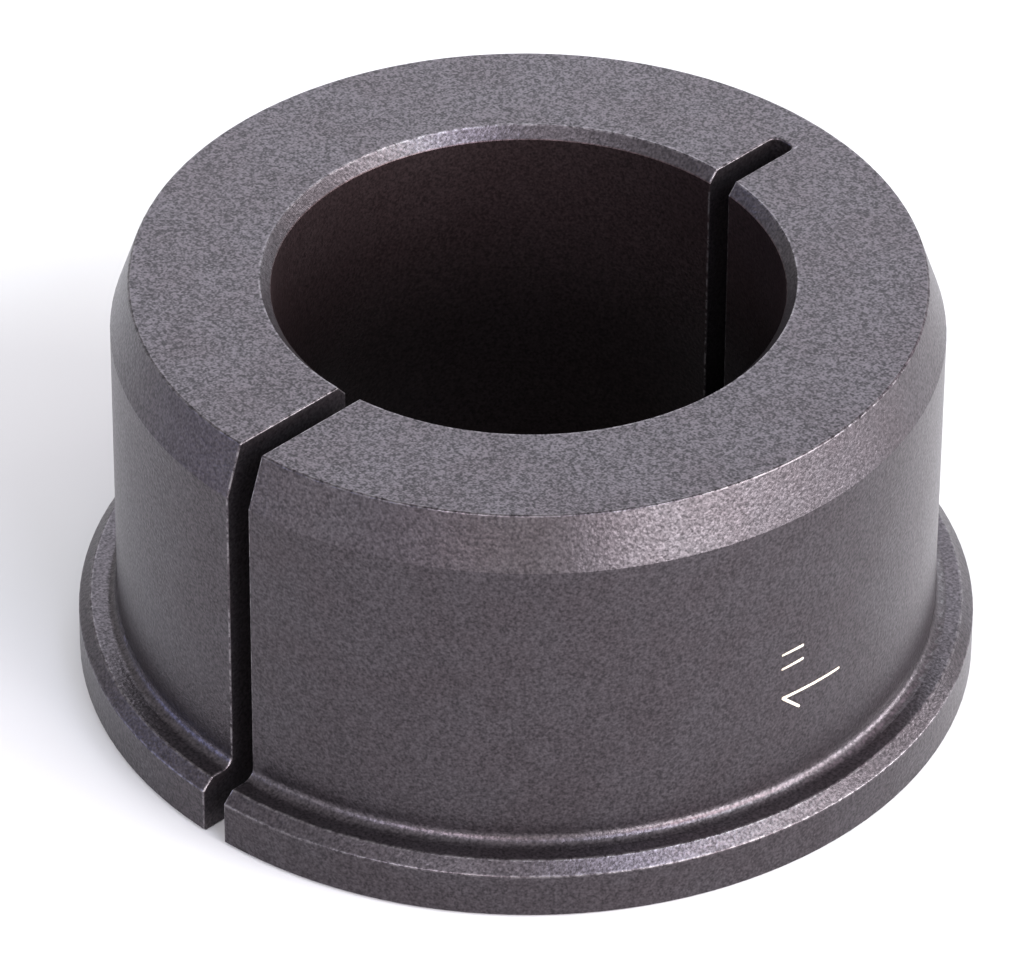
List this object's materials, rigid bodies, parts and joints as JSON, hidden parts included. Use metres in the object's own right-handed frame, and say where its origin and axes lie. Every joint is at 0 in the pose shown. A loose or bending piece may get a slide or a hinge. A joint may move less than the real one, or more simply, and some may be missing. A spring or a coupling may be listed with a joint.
{
  "type": "split taper bush",
  "caption": "Split steel bush with a clamping bore, a thin chamfered flange at its foot, a parallel body and a short taper at its nose.",
  "frame": {"origin": "centre of the flange's lower face, on the bore's axis", "axes": "+Z along the bore's axis towards the tapered nose; the through slit is on the -Y side and the blind relief slot on the +Y side"},
  "size_m": [0.0452, 0.0452, 0.0222],
  "materials": {
    "blackened_steel": "fine bead-blasted and black oxide, matte"
  },
  "bodies": {
    "root": {"bush": "blackened_steel"}
  },
  "joints": []
}
